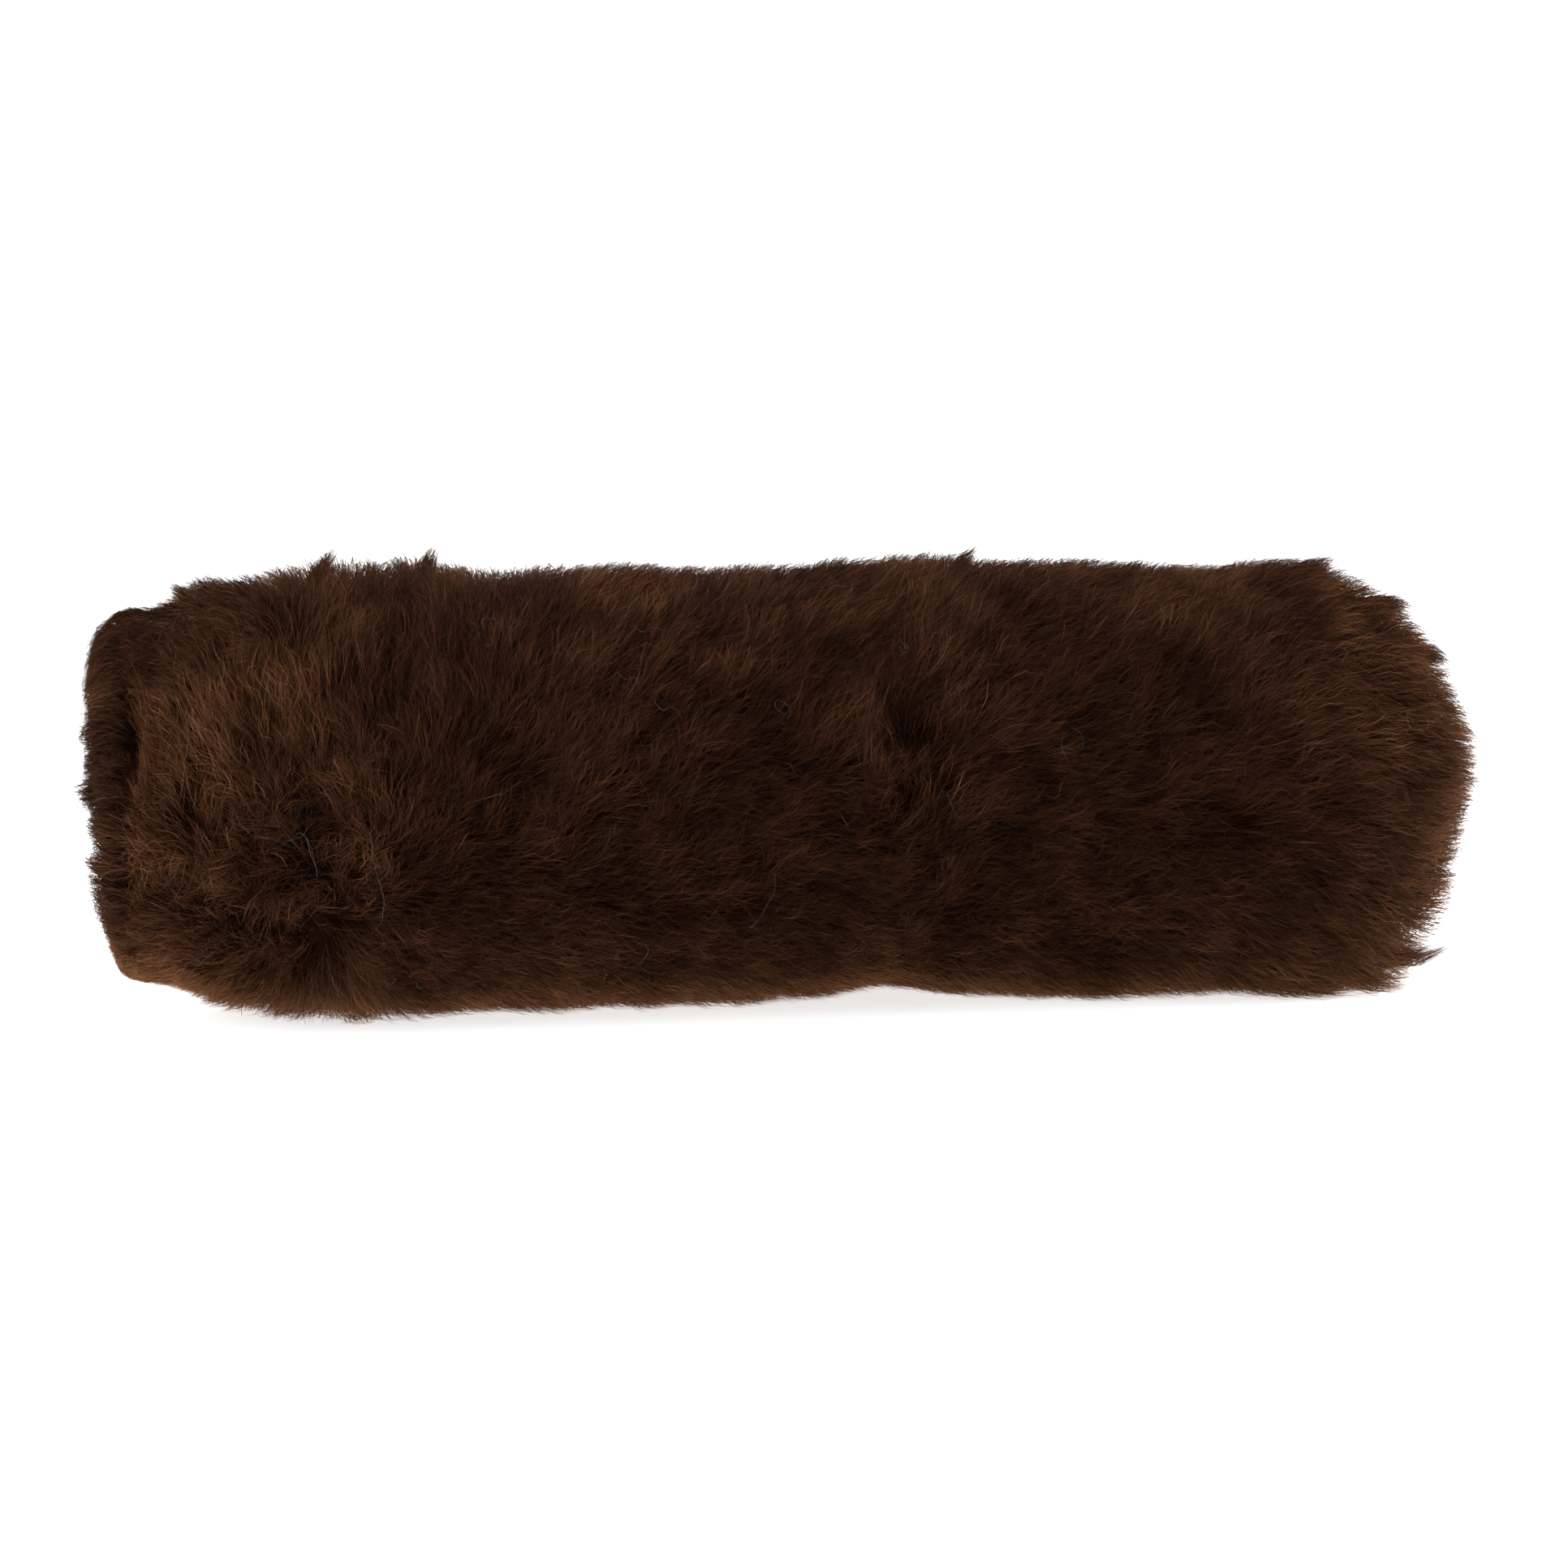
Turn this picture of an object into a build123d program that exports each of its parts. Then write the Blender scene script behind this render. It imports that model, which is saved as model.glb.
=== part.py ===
from build123d import *
import os

# A furry windscreen for a shotgun microphone: a long-pile slip-on cover over a rigid basket.
# Millimetres. +X runs along the axis to the closed, domed front, +Z is up, and the cover lies
# on z = 0. The origin is at the middle of the length, on the surface that the cover lies on.

# ---- driving dimensions ----
LENGTH = 450.0          # over the fur, tip to tip
PILE_R = 70.0           # radius over the lying pile
AXIS_Z = 67.0           # height of the axis: the pile is pressed 3 mm flat underneath
BASKET_R = 50.0         # outside radius of the rigid basket
WALL = 2.2              # basket wall
SCRIM = 0.6             # acoustic cloth, pulled tight inside the lattice
SLIP = 0.7              # room between the basket and whatever slides over it
GAP = 0.1               # hairline between pieces that are sewn or clipped together
TAPE = 0.8              # binding tape over the inside of each seam
BACKING_R = BASKET_R + SLIP + TAPE          # inside radius of the fur fabric
SOCKET_R = 36.0         # bore that the shock mount's end plate plugs into
UNLOCK_DEG = 35.0       # turn of the lock ring

REAR_TIP = -LENGTH / 2
FRONT_TIP = LENGTH / 2

# ---- stations along the axis ----
FUR_REAR = REAR_TIP + 17.0      # rear edge of the body panel
FUR_SEAM = 160.0                # seam between the body panel and the front panel
DOME_START = FRONT_TIP - 50.0   # where the front panel starts to close
TUBE_REAR = -195.0              # the lattice tube
TUBE_FRONT = 155.0
NOSE_START = 163.0              # where the basket's nose starts to close
NOSE_TIP = 203.0
FLANGE_REAR = -201.5            # rear face of the collar's flange
NECK_REAR = REAR_TIP + 9.0      # rear edge of the collar's neck, sunk in the pile

# ---- lattice ----
ROWS = 14
AROUND = 12
CELL_R = 12.6                   # circumradius of one hexagonal window
REAR_BAND = 14.0                # plain bands at the tube's ends
FRONT_BAND = 12.0

# ---- collar and lock ring ----
NECK_R = 43.0
NECK_BORE_R = 40.5
RING_R = NECK_BORE_R - 0.1      # running fit in the neck
RING_BORE_R = SOCKET_R + 0.6
RING_REAR = NECK_REAR + 1.6
RING_FRONT = RING_REAR + 10.2
RETAINER_REAR = NECK_REAR + 0.4
RETAINER_IN_R = NECK_BORE_R - 1.3
RETAINER_OUT_R = NECK_BORE_R + 1.1
PIN_R = 1.2
SCREW_R = 1.25
SCREW_ROOM = 0.15
SCREW_COUNT = 6
SCREW_CIRCLE_R = 45.6
FRAME_BORE_R = 42.0             # inside radius of the rear frame ring
FRAME_FRONT = -186.0

AXIS = Axis((0, 0, AXIS_Z), (1, 0, 0))


def section(angle=0.0):
    """The half plane through the axis, turned about it: local x is +X, local y the radius."""
    return Plane((0, 0, AXIS_Z), x_dir=(1, 0, 0), z_dir=Vector(0, -1, 0).rotate(Axis.X, angle))


def cross_section(x):
    """The plane across the axis at x: local x is +Y, local y is +Z, from the axis."""
    return Plane((x, 0, AXIS_Z), x_dir=(0, 1, 0), z_dir=(1, 0, 0))


def tangent_plane(x, radius, angle):
    """The plane that touches a cylinder round the axis, facing outwards."""
    out = Vector(0, 0, 1).rotate(Axis.X, angle)
    return Plane(Vector(x, 0, AXIS_Z) + out * radius, x_dir=(1, 0, 0), z_dir=out)


def band(x_from, x_to, r_in, r_out, mode=Mode.ADD):
    """A rectangle of the half section."""
    with Locations(((x_from + x_to) / 2, (r_in + r_out) / 2)):
        Rectangle(x_to - x_from, r_out - r_in, mode=mode)


def dome(x_start, r_start, x_tip):
    """The closing curve of a dome: a parabola, square to the axis at its tip."""
    Bezier((x_start, r_start), (x_tip, r_start * 0.53), (x_tip, 0))


os.makedirs("parts", exist_ok=True)

# ======================= the slip-on fur cover =======================

# ---- body panel: long-pile fabric sewn into a sleeve, pile combed along the sleeve ----
REAR_ROUND = 20.0       # length over which the pile rounds off at the rear edge
REAR_DROP = 12.0        # and how far it drops there
with BuildPart() as body_fur:
    with BuildSketch(section()):
        with BuildLine():
            Polyline(
                (FUR_REAR, PILE_R - REAR_DROP),
                (FUR_REAR, BACKING_R),
                (FUR_SEAM - GAP, BACKING_R),
                (FUR_SEAM - GAP, PILE_R),
                (FUR_REAR + REAR_ROUND, PILE_R),
            )
            Bezier(
                (FUR_REAR + REAR_ROUND, PILE_R),
                (FUR_REAR, PILE_R),
                (FUR_REAR, PILE_R - REAR_DROP),
            )
        make_face()
    revolve(axis=AXIS)
    split(bisect_by=Plane.XY)      # the pile is pressed flat where the cover lies
body_fur.part.label = "body_fur"
export_step(body_fur.part, "parts/body_fur.step")

# ---- front panel: the closed end, sewn to the body panel ----
BACKING_DOME = NOSE_START + 1.0         # where its backing starts to close
BACKING_TIP = NOSE_TIP + 2.0
with BuildPart() as front_fur:
    with BuildSketch(section()):
        with BuildLine():
            Polyline(
                (BACKING_TIP, 0),
                (FRONT_TIP, 0),
            )
            dome(DOME_START, PILE_R, FRONT_TIP)
            Polyline(
                (DOME_START, PILE_R),
                (FUR_SEAM, PILE_R),
                (FUR_SEAM, BACKING_R),
                (BACKING_DOME, BACKING_R),
            )
            dome(BACKING_DOME, BACKING_R, BACKING_TIP)
        make_face()
    revolve(axis=AXIS)
    split(bisect_by=Plane.XY)      # the pile is pressed flat where the cover lies
front_fur.part.label = "front_fur"
export_step(front_fur.part, "parts/front_fur.step")

# ---- rear panel: the short gathered end that closes in behind the basket ----
HEM_R = 46.5            # where the pile ends, round the opening
REAR_PILE_R = 56.0
REAR_CORNER = 5.0
TUCK = 2.7              # the rear panel's seam allowance, turned in under the body panel
SEAM_GAP = 0.2
with BuildPart() as rear_fur:
    with BuildSketch(section()):
        with BuildLine():
            Polyline(
                (REAR_TIP + REAR_CORNER, REAR_PILE_R),
                (FUR_REAR - SEAM_GAP, REAR_PILE_R),
                (FUR_REAR - SEAM_GAP, BACKING_R - SEAM_GAP),
                (FUR_REAR + TUCK, BACKING_R - SEAM_GAP),
                (FUR_REAR + TUCK, HEM_R),
                (REAR_TIP, HEM_R),
                (REAR_TIP, REAR_PILE_R - REAR_CORNER),
            )
            RadiusArc(
                (REAR_TIP, REAR_PILE_R - REAR_CORNER),
                (REAR_TIP + REAR_CORNER, REAR_PILE_R),
                REAR_CORNER,
            )
        make_face()
    revolve(axis=AXIS)
rear_fur.part.label = "rear_fur"
export_step(rear_fur.part, "parts/rear_fur.step")

# ---- binding tapes inside the cover, over the three seams ----
TAPE_W = 10.0
REAR_TAPE_FROM = FUR_REAR + 3.0
REAR_TAPE_TO = REAR_TAPE_FROM + TAPE_W
with BuildPart() as front_seam_tape:
    with BuildSketch(section()):
        band(FUR_SEAM - TAPE_W, FUR_SEAM, BACKING_R - TAPE, BACKING_R)
    revolve(axis=AXIS)
front_seam_tape.part.label = "front_seam_tape"
export_step(front_seam_tape.part, "parts/front_seam_tape.step")

with BuildPart() as rear_seam_tape:
    with BuildSketch(section()):
        band(REAR_TAPE_FROM, REAR_TAPE_TO, BACKING_R - TAPE, BACKING_R)
    revolve(axis=AXIS)
rear_seam_tape.part.label = "rear_seam_tape"
export_step(rear_seam_tape.part, "parts/rear_seam_tape.step")

SEAM_TAPE_DEG = 13.0            # the lengthwise seam runs underneath
with BuildPart() as length_seam_tape:
    with BuildSketch(section(180 - SEAM_TAPE_DEG / 2)):
        band(REAR_TAPE_TO + GAP, FUR_SEAM - TAPE_W - GAP, BACKING_R - TAPE, BACKING_R)
    revolve(axis=AXIS, revolution_arc=SEAM_TAPE_DEG)
length_seam_tape.part.label = "length_seam_tape"
export_step(length_seam_tape.part, "parts/length_seam_tape.step")

# ---- hem: a folded tape casing, open outwards where it is sewn on, and its elastic ----
CASING_FRONT = FUR_REAR + 2.0
CASING_REAR = CASING_FRONT - 7.0
CASING_BORE_R = NECK_R + 0.5
FOLD = 0.7              # thickness of the folded tape
ELASTIC = 1.4           # thickness of the elastic
with BuildPart() as hem_casing:
    with BuildSketch(section()):
        band(CASING_REAR, CASING_FRONT, CASING_BORE_R, HEM_R - GAP)
        band(CASING_REAR + FOLD, CASING_FRONT - FOLD, CASING_BORE_R + FOLD, HEM_R, Mode.SUBTRACT)
    revolve(axis=AXIS)
hem_casing.part.label = "hem_casing"
export_step(hem_casing.part, "parts/hem_casing.step")

with BuildPart() as elastic_band:
    with BuildSketch(section()):
        band(
            CASING_REAR + FOLD + GAP,
            CASING_FRONT - FOLD - GAP,
            CASING_BORE_R + FOLD + GAP,
            CASING_BORE_R + FOLD + GAP + ELASTIC,
        )
    revolve(axis=AXIS)
elastic_band.part.label = "elastic_band"
export_step(elastic_band.part, "parts/elastic_band.step")

# ======================= the rigid basket =======================

screw_angles = [360 / SCREW_COUNT * (k + 0.5) for k in range(SCREW_COUNT)]
NOSE_SCREW_X = TUBE_FRONT - 4.0
NOSE_SCREW_R = BASKET_R - GAP
NOSE_SCREW_LENGTH = 4.3
HEAD_R = 2.3
HEAD_DEPTH = 1.05
DRIVE_L = 2.6           # cross slot in the head
DRIVE_W = 0.6
DRIVE_DEPTH = 0.5
nose_screw_planes = [tangent_plane(NOSE_SCREW_X, NOSE_SCREW_R, a) for a in screw_angles]
TOP = (Align.CENTER, Align.CENTER, Align.MAX)

# ---- lattice tube, with hexagonal windows in staggered rows ----
row_pitch = (TUBE_FRONT - TUBE_REAR - REAR_BAND - FRONT_BAND) / ROWS
with BuildPart() as cage_tube:
    with BuildSketch(section()):
        band(TUBE_REAR, TUBE_FRONT, BASKET_R - WALL, BASKET_R)
    revolve(axis=AXIS)
    for row in range(ROWS):
        x = TUBE_REAR + REAR_BAND + (row + 0.5) * row_pitch
        turns = [360 / AROUND * (k + 0.5 * (row % 2)) for k in range(AROUND)]
        with BuildSketch(*[tangent_plane(x, BASKET_R - 2 * WALL, a) for a in turns]):
            RegularPolygon(CELL_R, 6)
        extrude(amount=4 * WALL, mode=Mode.SUBTRACT)
    with Locations(*nose_screw_planes):
        Cylinder(SCREW_R, NOSE_SCREW_LENGTH, align=TOP, mode=Mode.SUBTRACT)
        Cone(SCREW_R, HEAD_R, HEAD_DEPTH, align=TOP, mode=Mode.SUBTRACT)
        Cylinder(HEAD_R, 1, align=(Align.CENTER, Align.CENTER, Align.MIN), mode=Mode.SUBTRACT)
cage_tube.part.label = "cage_tube"
export_step(cage_tube.part, "parts/cage_tube.step")

# ---- nose lattice: a skirt and a dome, with two rings of windows ----
HUB_R = 10.0
RINGS = [(HUB_R, 25.0, 8), (28.5, 42.5, 12)]     # inner radius, outer radius, windows
SPOKE = 3.0
with BuildPart() as cage_nose:
    with BuildSketch(section()):
        with BuildLine():
            Line((NOSE_TIP - WALL, 0), (NOSE_TIP, 0))
            dome(NOSE_START, BASKET_R, NOSE_TIP)
            Polyline(
                (NOSE_START, BASKET_R),
                (TUBE_FRONT + GAP, BASKET_R),
                (TUBE_FRONT + GAP, BASKET_R - WALL),
                (NOSE_START, BASKET_R - WALL),
            )
            dome(NOSE_START, BASKET_R - WALL, NOSE_TIP - WALL)
        make_face()
    revolve(axis=AXIS)
    for r_in, r_out, count in RINGS:
        with BuildSketch(cross_section(NOSE_START)):
            Circle(r_out)
            Circle(r_in, mode=Mode.SUBTRACT)
            with PolarLocations((r_in + r_out) / 2, count):
                Rectangle(r_out, SPOKE, mode=Mode.SUBTRACT)
        extrude(amount=NOSE_TIP - NOSE_START + WALL, mode=Mode.SUBTRACT)
cage_nose.part.label = "cage_nose"
export_step(cage_nose.part, "parts/cage_nose.step")

# ---- joint ring that the tube and the nose both slide over, and its screws ----
LINER_R = BASKET_R - WALL - 0.05
JOINT_RING_WALL = 2.5
JOINT_RING_FROM = TUBE_FRONT - 8.0
JOINT_RING_TO = NOSE_START - 0.5
with BuildPart() as nose_joint_ring:
    with BuildSketch(section()):
        band(JOINT_RING_FROM, JOINT_RING_TO, LINER_R - JOINT_RING_WALL, LINER_R)
    revolve(axis=AXIS)
    with Locations(*nose_screw_planes):
        Cylinder(SCREW_R, NOSE_SCREW_LENGTH + JOINT_RING_WALL, align=TOP, mode=Mode.SUBTRACT)
nose_joint_ring.part.label = "nose_joint_ring"
export_step(nose_joint_ring.part, "parts/nose_joint_ring.step")

with BuildPart() as nose_joint_screws:
    with Locations(*nose_screw_planes):
        Cylinder(SCREW_R, NOSE_SCREW_LENGTH, align=TOP)
        Cone(SCREW_R, HEAD_R, HEAD_DEPTH, align=TOP)
        Box(DRIVE_L, DRIVE_W, DRIVE_DEPTH, align=TOP, mode=Mode.SUBTRACT)
        Box(DRIVE_W, DRIVE_L, DRIVE_DEPTH, align=TOP, mode=Mode.SUBTRACT)
nose_joint_screws.part.label = "nose_joint_screws"
export_step(nose_joint_screws.part, "parts/nose_joint_screws.step")

# ---- acoustic cloth inside the lattice, and the hoops that hold it against the wall ----
SCRIM_GAP = 0.2
SCRIM_R = BASKET_R - WALL - SCRIM_GAP
SCRIM_NOSE_TIP = NOSE_TIP - WALL - SCRIM_GAP
with BuildPart() as scrim_tube:
    with BuildSketch(section()):
        band(FRAME_FRONT + SCRIM_GAP, JOINT_RING_FROM - SCRIM_GAP, SCRIM_R - SCRIM, SCRIM_R)
    revolve(axis=AXIS)
scrim_tube.part.label = "scrim_tube"
export_step(scrim_tube.part, "parts/scrim_tube.step")

with BuildPart() as scrim_nose:
    with BuildSketch(section()):
        with BuildLine():
            Line((SCRIM_NOSE_TIP - SCRIM, 0), (SCRIM_NOSE_TIP, 0))
            dome(NOSE_START, SCRIM_R, SCRIM_NOSE_TIP)
            Line((NOSE_START, SCRIM_R), (NOSE_START, SCRIM_R - SCRIM))
            dome(NOSE_START, SCRIM_R - SCRIM, SCRIM_NOSE_TIP - SCRIM)
        make_face()
    revolve(axis=AXIS)
scrim_nose.part.label = "scrim_nose"
export_step(scrim_nose.part, "parts/scrim_nose.step")

HOOP_W = 4.0
HOOP_WALL = 1.2
HOOPS = [-105.0, -20.0, 65.0]
with BuildPart() as scrim_hoops:
    for x in HOOPS:
        with BuildSketch(section()):
            band(x, x + HOOP_W, SCRIM_R - SCRIM - GAP - HOOP_WALL, SCRIM_R - SCRIM - GAP)
        revolve(axis=AXIS)
scrim_hoops.part.label = "scrim_hoops"
export_step(scrim_hoops.part, "parts/scrim_hoops.step")

# ---- rear frame ring, in the tube's rear end ----
screw_spots = PolarLocations(SCREW_CIRCLE_R, SCREW_COUNT, 360 / SCREW_COUNT / 2 + 90)
HOLE_FLOOR = 1.5        # plastic left beyond each screw's tip
GASKET = 0.5
FLANGE = 3.0
frame_rear = FLANGE_REAR + FLANGE + GASKET
with BuildPart() as rear_frame_ring:
    with BuildSketch(section()):
        band(frame_rear, TUBE_REAR, FRAME_BORE_R, BASKET_R)
        band(TUBE_REAR, FRAME_FRONT, FRAME_BORE_R, LINER_R)
    revolve(axis=AXIS)
    with BuildSketch(cross_section(frame_rear)):
        with screw_spots:
            Circle(SCREW_R)
    extrude(amount=FRAME_FRONT - frame_rear - HOLE_FLOOR, mode=Mode.SUBTRACT)
rear_frame_ring.part.label = "rear_frame_ring"
export_step(rear_frame_ring.part, "parts/rear_frame_ring.step")

with BuildPart() as collar_gasket:
    with BuildSketch(cross_section(frame_rear)):
        Circle(BASKET_R - GAP)
        Circle(FRAME_BORE_R, mode=Mode.SUBTRACT)
        with screw_spots:
            Circle(SCREW_R + SCREW_ROOM, mode=Mode.SUBTRACT)
    extrude(amount=-GASKET)
collar_gasket.part.label = "collar_gasket"
export_step(collar_gasket.part, "parts/collar_gasket.step")

# ---- rear collar: flange, socket for the shock mount, and neck for the lock ring ----
SLEEVE_R = SOCKET_R + 3.5
SOCKET_REAR = RING_FRONT + 0.2          # the lock ring runs just clear of the socket's end
PIN_X = RING_REAR + 6.0
RETAINER_W = 1.0
with BuildPart() as rear_collar:
    with BuildSketch(section()):
        band(FLANGE_REAR, FLANGE_REAR + FLANGE, SOCKET_R, BASKET_R)
        band(SOCKET_REAR, FRAME_FRONT, SOCKET_R, SLEEVE_R)
        band(NECK_REAR, FLANGE_REAR, NECK_BORE_R, NECK_R)
        band(SOCKET_REAR, FLANGE_REAR, SOCKET_R, NECK_R)
        band(
            RETAINER_REAR - GAP,
            RETAINER_REAR + RETAINER_W + GAP,
            RETAINER_IN_R,
            RETAINER_OUT_R + GAP,
            Mode.SUBTRACT,
        )
    revolve(axis=AXIS)
    with BuildSketch(cross_section(FLANGE_REAR)):
        with screw_spots:
            Circle(SCREW_R + SCREW_ROOM)
    extrude(amount=FLANGE, mode=Mode.SUBTRACT)
    with Locations(tangent_plane(PIN_X, NECK_R, 0)):
        Cylinder(PIN_R, 2 * (NECK_R - NECK_BORE_R), align=TOP, mode=Mode.SUBTRACT)
rear_collar.part.label = "rear_collar"
export_step(rear_collar.part, "parts/rear_collar.step")

CAP_R = 2.4
CAP_HEIGHT = 2.0
SOCKET_HEX_R = 1.1
with BuildPart() as collar_screws:
    with BuildSketch(cross_section(FLANGE_REAR)):
        with screw_spots:
            Circle(SCREW_R)
    extrude(amount=FRAME_FRONT - frame_rear)
    with BuildSketch(cross_section(FLANGE_REAR)):
        with screw_spots:
            Circle(CAP_R)
            RegularPolygon(SOCKET_HEX_R, 6, mode=Mode.SUBTRACT)
    extrude(amount=-CAP_HEIGHT)
collar_screws.part.label = "collar_screws"
export_step(collar_screws.part, "parts/collar_screws.step")

# ---- stop pin: pressed in the neck, it rides in a slot of the lock ring ----
SLOT_FLOOR_R = RING_R - 1.3
PIN_CLEAR = 0.2
PIN_TOP_R = NECK_R - GAP
with BuildPart() as stop_pin:
    with Locations(tangent_plane(PIN_X, PIN_TOP_R, 0)):
        Cylinder(PIN_R, PIN_TOP_R - SLOT_FLOOR_R - PIN_CLEAR, align=TOP)
stop_pin.part.label = "stop_pin"
export_step(stop_pin.part, "parts/stop_pin.step")

# ---- lock ring: three bayonet entries into one groove, and finger ribs on its rear face ----
BAYONETS = 3
ENTRY_W = 8.0
ENTRY_DEPTH = 4.0
GROOVE_REAR = RING_REAR + 3.0
GROOVE_FRONT = RING_REAR + 7.0
GROOVE_R = RING_BORE_R + 2.2
PIN_HALF_DEG = 2.2      # the pin and its clearance take this much of the slot at each end
RIB_COUNT = 12
RIB_W = 4.0
RIB_HEIGHT = 3.0
RIB_IN_R = RING_BORE_R + 0.1
RIB_OUT_R = GROOVE_R - 0.9
with BuildPart() as lock_ring:
    with BuildSketch(section()):
        band(RING_REAR, RING_FRONT, RING_BORE_R, RING_R)
        band(GROOVE_REAR, GROOVE_FRONT, SOCKET_R, GROOVE_R, Mode.SUBTRACT)
    revolve(axis=AXIS)
    with BuildSketch(cross_section(RING_REAR)):
        with PolarLocations((SOCKET_R + GROOVE_R) / 2, BAYONETS, 90):
            Rectangle(GROOVE_R - SOCKET_R, ENTRY_W)
    extrude(amount=ENTRY_DEPTH, mode=Mode.SUBTRACT)
    with BuildSketch(cross_section(RING_REAR)):
        with PolarLocations((RIB_IN_R + RIB_OUT_R) / 2, RIB_COUNT, 180 / RIB_COUNT):
            Rectangle(RIB_OUT_R - RIB_IN_R, RIB_W)
    extrude(amount=-RIB_HEIGHT)
    with BuildSketch(section(-UNLOCK_DEG - PIN_HALF_DEG)):
        band(PIN_X - PIN_R - PIN_CLEAR, PIN_X + PIN_R + PIN_CLEAR, SLOT_FLOOR_R, NECK_R)
    revolve(axis=AXIS, revolution_arc=UNLOCK_DEG + 2 * PIN_HALF_DEG, mode=Mode.SUBTRACT)
lock_ring.part.label = "lock_ring"
export_step(lock_ring.part, "parts/lock_ring.step")

# ---- retaining ring: an open spring ring in the neck's groove ----
GAP_DEG = 20.0
with BuildPart() as retaining_ring:
    with BuildSketch(section(180 + GAP_DEG / 2)):
        band(RETAINER_REAR, RETAINER_REAR + RETAINER_W, RETAINER_IN_R, RETAINER_OUT_R)
    revolve(axis=AXIS, revolution_arc=360 - GAP_DEG)
retaining_ring.part.label = "retaining_ring"
export_step(retaining_ring.part, "parts/retaining_ring.step")
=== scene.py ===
"""The looks of a furry windscreen: a long-pile fur cover over a rigid lattice basket.

Lengths are in metres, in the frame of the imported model: +X along the axis to the domed front,
+Z up, and the cover lies on z = 0. The fur is real geometry, a flat tapering ribbon for each
hair, grown from the cover's backing and combed by a flow field.
"""

import math

import bpy
import numpy as np
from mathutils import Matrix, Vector


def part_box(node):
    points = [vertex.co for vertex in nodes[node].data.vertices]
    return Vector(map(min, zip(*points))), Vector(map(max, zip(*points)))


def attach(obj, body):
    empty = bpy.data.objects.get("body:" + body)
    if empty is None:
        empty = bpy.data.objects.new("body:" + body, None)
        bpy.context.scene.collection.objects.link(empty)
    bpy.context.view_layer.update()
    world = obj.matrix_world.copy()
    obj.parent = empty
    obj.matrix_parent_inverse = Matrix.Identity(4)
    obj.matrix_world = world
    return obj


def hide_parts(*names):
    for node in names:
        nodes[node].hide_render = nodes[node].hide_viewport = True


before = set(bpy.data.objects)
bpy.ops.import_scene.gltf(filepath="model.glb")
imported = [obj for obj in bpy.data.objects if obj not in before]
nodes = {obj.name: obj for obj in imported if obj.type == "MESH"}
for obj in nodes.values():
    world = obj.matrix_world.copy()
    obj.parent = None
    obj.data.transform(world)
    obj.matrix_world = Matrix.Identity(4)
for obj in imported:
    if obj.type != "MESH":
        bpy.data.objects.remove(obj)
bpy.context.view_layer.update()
scene = bpy.context.scene
MM = 0.001

# ---- measures taken from the frame ----
REAR_LO, REAR_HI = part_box("rear_fur")
TUBE_LO, TUBE_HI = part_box("cage_tube")
NOSE_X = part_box("cage_nose")[1].x
HEM_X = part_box("hem_casing")[0].x + 2 * MM      # the rear face of the cover
BODY_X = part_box("body_fur")[0].x                # rear end of the long pile
EDGE_X = BODY_X + 5 * MM                        # where the sleeve turns in at the rear
SEAM_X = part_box("front_fur")[0].x               # where the dome starts
AXIS_Z = (TUBE_LO.z + TUBE_HI.z) / 2
BASKET_R = (TUBE_HI.z - TUBE_LO.z) / 2
BACKING_R = BASKET_R + 1.5 * MM                 # inside of the fur fabric
ROOT_R = BACKING_R + 1.0 * MM                   # outside of it, where the hairs start
HEM_R = (REAR_HI.z - REAR_LO.z) / 2 - 9.5 * MM  # the hem round the rear opening
ROUND = 2 * math.pi * BACKING_R                 # once round the sleeve


# ======================= camera, floor and light =======================

def aim(thing, location, target):
    thing.location = location
    thing.rotation_mode = "QUATERNION"
    direction = Vector(target) - Vector(location)
    thing.rotation_quaternion = direction.to_track_quat("-Z", "Y")


def add_camera():
    """A long lens, a little to the rear of square on and looking slightly down."""
    distance, azimuth, elevation = 1.5, math.radians(-10), math.radians(8.5)
    target = Vector((-0.0005, 0, 0.0685))
    back = Vector((
        math.sin(azimuth) * math.cos(elevation),
        -math.cos(azimuth) * math.cos(elevation),
        math.sin(elevation),
    ))
    data = bpy.data.cameras.new("camera")
    data.lens = 107.0
    data.clip_end = 30
    camera = bpy.data.objects.new("camera", data)
    scene.collection.objects.link(camera)
    aim(camera, target + back * distance, target)
    scene.camera = camera


def add_light(name, location, size, power):
    data = bpy.data.lights.new(name, "AREA")
    data.shape = "DISK"
    data.size = size
    data.energy = power
    lamp = bpy.data.objects.new(name, data)
    scene.collection.objects.link(lamp)
    aim(lamp, location, (0, 0, AXIS_Z))


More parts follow.
